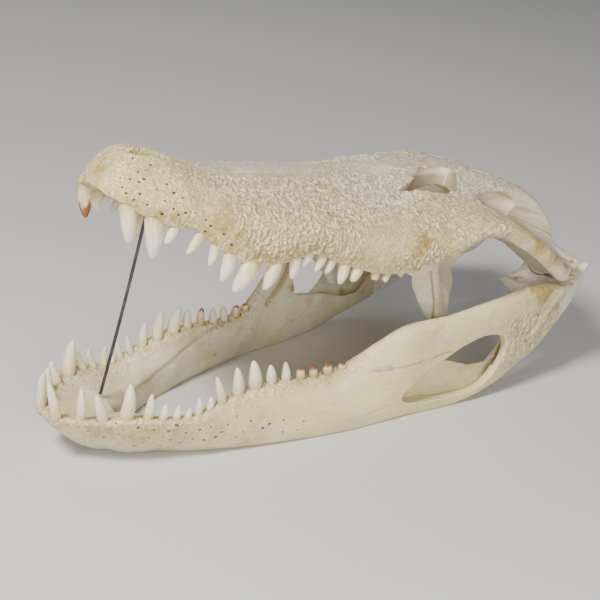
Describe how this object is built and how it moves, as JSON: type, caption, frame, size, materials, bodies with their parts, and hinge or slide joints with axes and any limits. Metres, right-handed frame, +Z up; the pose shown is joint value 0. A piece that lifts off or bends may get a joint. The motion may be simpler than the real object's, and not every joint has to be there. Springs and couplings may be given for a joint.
{
  "type": "alligator skull",
  "caption": "Life-size skull of a large American alligator, jaws propped open on a thin metal rod, resting on the underside of its lower jaw.",
  "frame": {"origin": "middle of the underside of the bounding box, on the floor that the lower jaw rests on", "axes": "-X towards the snout, -Y towards the animal's left side, +Z up"},
  "size_m": [0.6094, 0.2886, 0.2934],
  "materials": {
    "bone": "matte, cream with ochre stains",
    "weathered_bone": "matte, greyer and pitted",
    "toothed_bone": "matte bone with satin ivory teeth, some with orange-brown tips",
    "rod_metal": "dark, dull"
  },
  "bodies": {
    "root": {"nasals": "weathered_bone", "palatines": "bone", "pterygoid": "bone", "brow": "weathered_bone", "skull_table": "weathered_bone", "braincase": "bone", "prop_rod": "rod_metal", "premaxilla_left": "toothed_bone", "premaxilla_right": "toothed_bone", "maxilla_left": "toothed_bone", "maxilla_right": "toothed_bone", "jugal_left": "bone", "jugal_right": "bone", "ectopterygoid_left": "bone", "ectopterygoid_right": "bone", "quadrate_left": "bone", "quadrate_right": "bone", "dentary_left": "toothed_bone", "dentary_right": "toothed_bone", "surangular_left": "bone", "surangular_right": "bone", "angular_left": "bone", "angular_right": "bone", "articular_left": "bone", "articular_right": "bone"}
  },
  "joints": []
}
